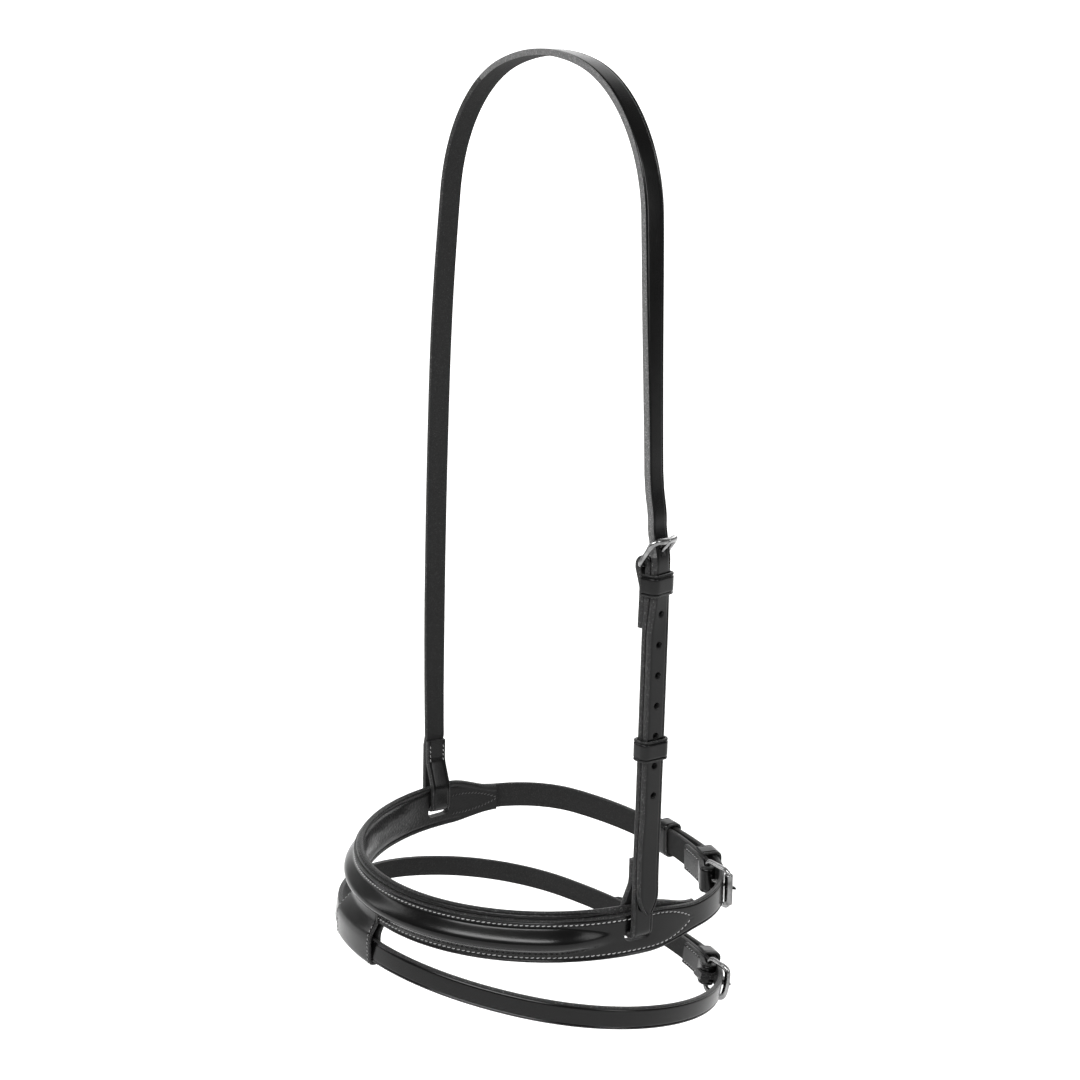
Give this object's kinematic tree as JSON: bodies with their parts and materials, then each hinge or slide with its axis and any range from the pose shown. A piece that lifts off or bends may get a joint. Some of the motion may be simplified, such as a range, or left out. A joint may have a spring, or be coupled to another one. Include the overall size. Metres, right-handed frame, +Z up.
{
  "type": "flash noseband",
  "caption": "Padded flash noseband on its own head strap, with buckled cheek, chin and flash straps, loops, keepers and a raised stitched roll over the nose.",
  "frame": {"origin": "underside of the head strap at its highest point, where it lies on the poll", "axes": "+Z up, +X to the near side, -Y towards the nose; the head strap hangs down -Z"},
  "size_m": [0.2633, 0.2146, 0.5458],
  "materials": {
    "leather": "polished smooth face, matt flesh side",
    "lining": "soft, matt",
    "padding": "hidden soft core",
    "thread": "light grey waxed thread",
    "steel": "polished"
  },
  "bodies": {
    "headpiece": {"head_strap": "leather", "near_cheek_strap": "leather", "cheek_fixed_keeper": "leather"},
    "cheek_buckle": {"cheek_buckle_frame": "steel"},
    "cheek_tongue": {"cheek_buckle_tongue": "steel"},
    "cheek_runner": {"cheek_runner": "leather"},
    "noseband": {"noseband_strap": "leather", "nose_roll_core": "padding", "nose_lining": "lining", "nose_thread_upper": "thread", "nose_thread_lower": "thread", "chin_fixed_keeper": "leather", "flash_loop_tab": "leather"},
    "chin_buckle": {"chin_buckle_frame": "steel"},
    "chin_roller": {"chin_roller": "steel"},
    "chin_tongue": {"chin_buckle_tongue": "steel"},
    "chin_runner": {"chin_runner": "leather"},
    "flash": {"flash_strap": "leather", "flash_fixed_keeper": "leather"},
    "flash_buckle": {"flash_buckle_frame": "steel"},
    "flash_tongue": {"flash_buckle_tongue": "steel"}
  },
  "joints": [
    {"name": "cheek_buckle_hinge", "type": "hinge", "parent": "headpiece", "child": "cheek_buckle", "pos_m": [0.1134, -0.00818, -0.25837], "axis": [-0.2924, 0.9559, -0.0267], "range_deg": [0, 1.5]},
    {"name": "cheek_tongue_lift", "type": "hinge", "parent": "cheek_buckle", "child": "cheek_tongue", "pos_m": [0.1134, -0.00818, -0.25837], "axis": [-0.2924, 0.9559, -0.0267], "range_deg": [0, 4]},
    {"name": "cheek_runner_slide", "type": "slide", "parent": "headpiece", "child": "cheek_runner", "axis": [0, 0.0279, 0.9996], "range_m": [-0.025, 0.055]},
    {"name": "noseband_swing", "type": "hinge", "parent": "headpiece", "child": "noseband", "pos_m": [0, -0.013, -0.4665], "axis": [1, 0, 0], "range_deg": [-5, 5]},
    {"name": "chin_buckle_hinge", "type": "hinge", "parent": "noseband", "child": "chin_buckle", "pos_m": [0.07229, 0.06495, -0.4665], "axis": [0, 0, 1], "range_deg": [0, 2]},
    {"name": "chin_roller_spin", "type": "hinge", "parent": "chin_buckle", "child": "chin_roller", "pos_m": [0.09229, 0.06523, -0.4665], "axis": [0, 0, 1], "continuous": true},
    {"name": "chin_tongue_lift", "type": "hinge", "parent": "chin_buckle", "child": "chin_tongue", "pos_m": [0.07229, 0.06495, -0.4665], "axis": [0, 0, 1], "range_deg": [0, 6]},
    {"name": "chin_runner_slide", "type": "hinge", "parent": "noseband", "child": "chin_runner", "pos_m": [0, -0.145, -0.4665], "axis": [0, 0, 1], "range_deg": [-3.5, 5]},
    {"name": "flash_swing", "type": "hinge", "parent": "noseband", "child": "flash", "pos_m": [-0.011, -0.11735, -0.4949], "axis": [1, -0.0088, 0], "range_deg": [-4, 4]},
    {"name": "flash_buckle_hinge", "type": "hinge", "parent": "flash", "child": "flash_buckle", "pos_m": [0.06612, 0.07123, -0.53081], "axis": [0, 0.1874, 0.9823], "range_deg": [0, 2]},
    {"name": "flash_tongue_lift", "type": "hinge", "parent": "flash_buckle", "child": "flash_tongue", "pos_m": [0.06612, 0.07123, -0.53081], "axis": [0, 0.1874, 0.9823], "range_deg": [0, 6]}
  ]
}
